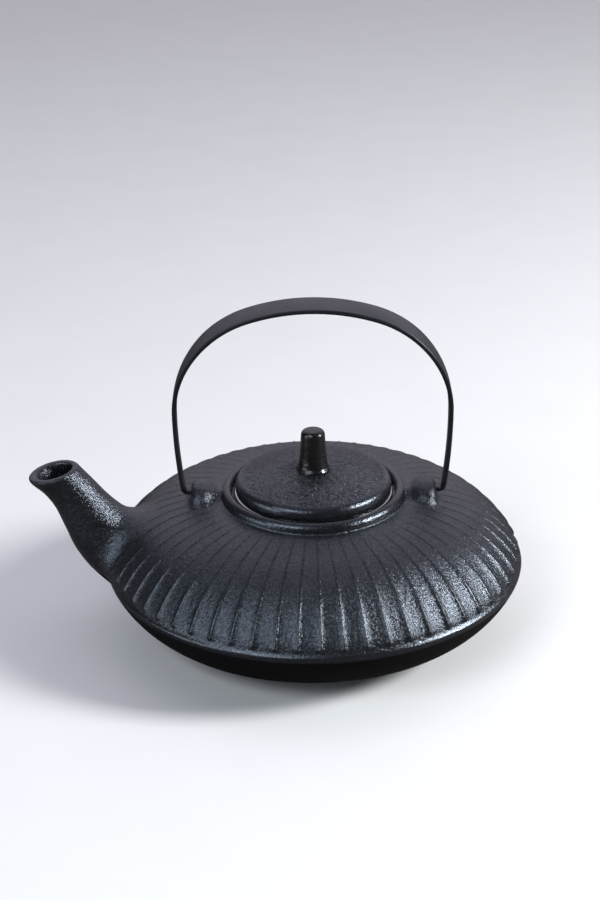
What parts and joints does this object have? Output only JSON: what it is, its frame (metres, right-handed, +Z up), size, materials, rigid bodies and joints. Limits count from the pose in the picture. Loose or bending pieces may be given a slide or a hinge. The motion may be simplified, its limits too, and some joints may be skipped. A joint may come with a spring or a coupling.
{
  "type": "teapot with infuser",
  "caption": "Low cast-iron teapot with a curved side spout, a folding strap handle, a loose domed lid with a finger knob and a lift-out mesh tea infuser.",
  "frame": {"origin": "centre of the foot ring, on the table", "axes": "+Z up; the spout points along -X; the handle folds about an axis along X, towards -Y or +Y"},
  "size_m": [0.2114, 0.18, 0.1463],
  "materials": {
    "cast_iron_black": "fine sand-cast grain, black, semi-gloss",
    "strap_paint": "satin black powder coat",
    "knob_enamel": "gloss black over cast iron",
    "stainless_steel": "bright stamped stainless steel",
    "wire_mesh": "plain-woven fine stainless wire"
  },
  "bodies": {
    "pot": {"pot_casting": "cast_iron_black"},
    "handle": {"bail_handle": "strap_paint"},
    "infuser": {"infuser_rim_collar": "stainless_steel", "infuser_mesh_wall": "wire_mesh", "infuser_base_ring": "stainless_steel", "infuser_base_mesh": "wire_mesh"},
    "lid": {"lid_casting": "cast_iron_black", "lid_knob": "knob_enamel", "knob_screw": "stainless_steel", "knob_washer": "stainless_steel"}
  },
  "joints": [
    {"name": "handle_fold", "type": "hinge", "parent": "pot", "child": "handle", "pos_m": [0, 0, 0.061], "axis": [1, 0, 0], "range_deg": [-94, 94]},
    {"name": "infuser_lift", "type": "slide", "parent": "pot", "child": "infuser", "axis": [0, 0, 1], "range_m": [0, 0.05]},
    {"name": "lid_lift", "type": "slide", "parent": "infuser", "child": "lid", "axis": [0, 0, 1], "range_m": [0, 0.05]}
  ]
}
